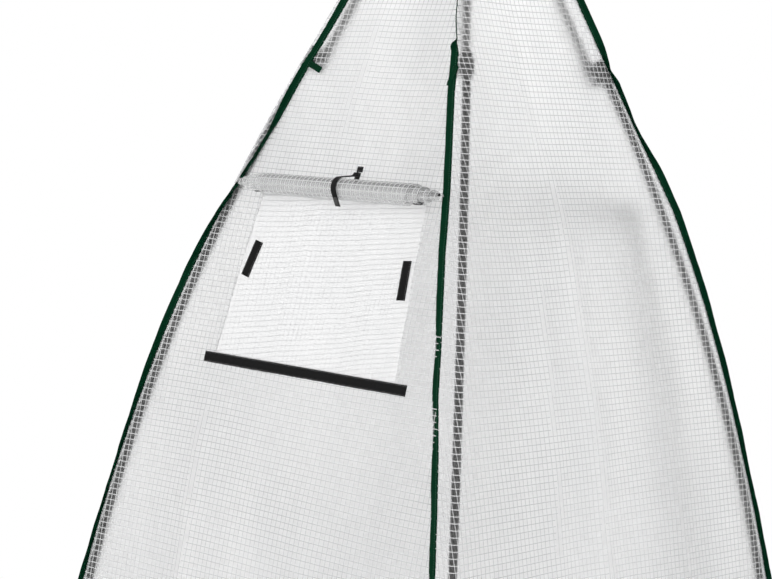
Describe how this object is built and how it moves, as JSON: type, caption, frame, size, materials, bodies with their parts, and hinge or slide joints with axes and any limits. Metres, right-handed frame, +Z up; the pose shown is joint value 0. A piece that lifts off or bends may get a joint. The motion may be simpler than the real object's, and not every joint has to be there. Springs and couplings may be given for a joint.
{
  "type": "pop-up greenhouse tent",
  "caption": "Square pop-up greenhouse tent: bent corner poles with offset elbows meet a top hub under a clear gridded cover with a screened window and a rolled flap.",
  "frame": {"origin": "on the ground, in the middle of the square base, under the hub", "axes": "+Z up; -Y is the side with the screened window, +Y the side with the door"},
  "size_m": [1.1484, 1.1484, 2.2564],
  "materials": {
    "pole": "satin black powder coat on steel tube",
    "bracket": "moulded black nylon",
    "pin": "plain steel",
    "foot": "moulded black nylon",
    "film": "clear film with a white yarn grid",
    "screen": "fine white insect screen",
    "flap": "rolled clear film with a white yarn grid",
    "binding": "dark green woven tape, slightly glossy",
    "zip": "dark zip tape",
    "strip": "black hook-and-loop tape and webbing"
  },
  "bodies": {
    "root": {"back_panel": "film", "base_hem_back": "binding", "base_hem_front": "binding", "base_hem_left": "binding", "base_hem_right": "binding", "bottom_strip": "strip", "door_hem": "binding", "door_leaf": "film", "door_zip": "zip", "elbow_arm_back_left": "bracket", "elbow_arm_back_right": "bracket", "elbow_arm_front_left": "bracket", "elbow_arm_front_right": "bracket", "elbow_pins": "pin", "elbow_socket_back_left": "bracket", "elbow_socket_back_right": "bracket", "elbow_socket_front_left": "bracket", "elbow_socket_front_right": "bracket", "front_panel": "film", "hub_pins": "pin", "left_panel": "film", "lower_pole_back_left": "pole", "lower_pole_back_right": "pole", "lower_pole_front_left": "pole", "lower_pole_front_right": "pole", "pole_feet": "foot", "right_panel": "film", "rolled_flap": "flap", "seam_back_left": "binding", "seam_back_right": "binding", "seam_front_left": "binding", "seam_front_right": "binding", "seam_tab_back_left": "binding", "seam_tab_back_right": "binding", "seam_tab_front_left": "binding", "seam_tab_front_right": "binding", "side_strip_left": "strip", "side_strip_right": "strip", "tie_strap": "strip", "top_hub": "bracket", "upper_pole_back_left": "pole", "upper_pole_back_right": "pole", "upper_pole_front_left": "pole", "upper_pole_front_right": "pole", "window_screen": "screen"}
  },
  "joints": []
}
